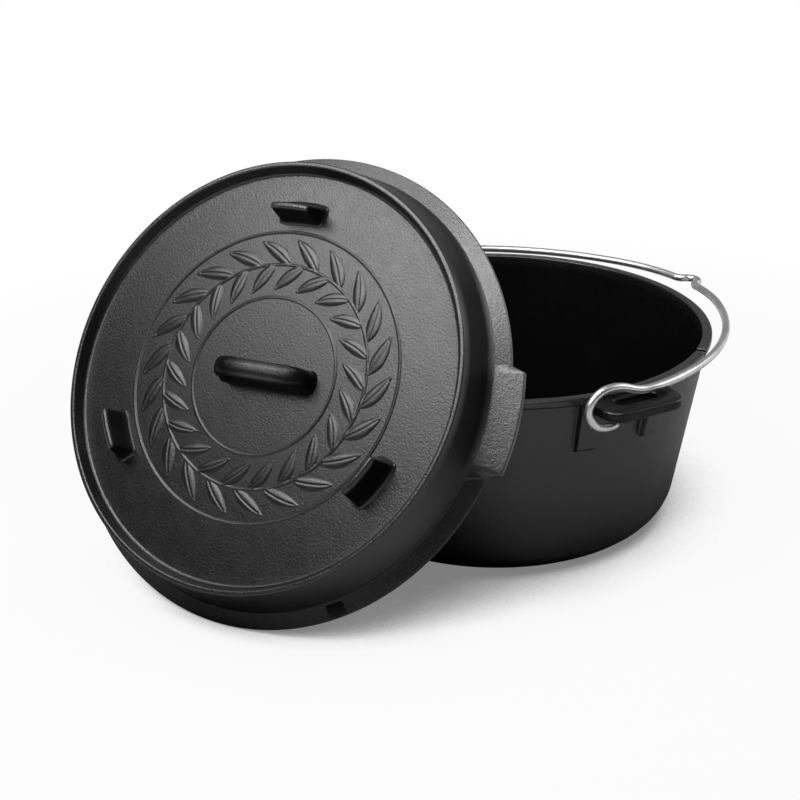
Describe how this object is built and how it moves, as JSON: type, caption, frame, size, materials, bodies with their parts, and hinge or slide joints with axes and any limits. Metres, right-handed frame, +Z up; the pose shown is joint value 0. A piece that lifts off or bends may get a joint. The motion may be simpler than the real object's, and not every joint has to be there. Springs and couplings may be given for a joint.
{
  "type": "camp dutch oven",
  "caption": "Round cast-iron camp pot with eared rim, folding wire bail and a flanged coal-rim lid with handle and feet, the lid taken off and leaning on the rim.",
  "frame": {"origin": "centre of the pot's flat base, on the floor", "axes": "+Z up along the pot's axis, X through the two ears along the bail's hinge line, +Y the way the bail is folded"},
  "size_m": [0.363, 0.4901, 0.2722],
  "materials": {
    "pot_iron": "satin black seasoning over sand-cast grain",
    "bail_wire": "bright drawn wire",
    "lid_iron": "satin black seasoning over sand-cast grain"
  },
  "bodies": {
    "pot": {"pot": "pot_iron"},
    "bail": {"bail": "bail_wire"},
    "lid": {"lid": "lid_iron"}
  },
  "joints": [
    {"name": "bail_swing", "type": "hinge", "parent": "pot", "child": "bail", "pos_m": [0, -0.021, 0.1372], "axis": [1, 0, 0], "range_deg": [0, 115]},
    {"name": "lid_lift", "type": "slide", "parent": "pot", "child": "lid", "axis": [0.4103, -0.7193, 0.5606], "range_m": [0, 0.2]}
  ]
}
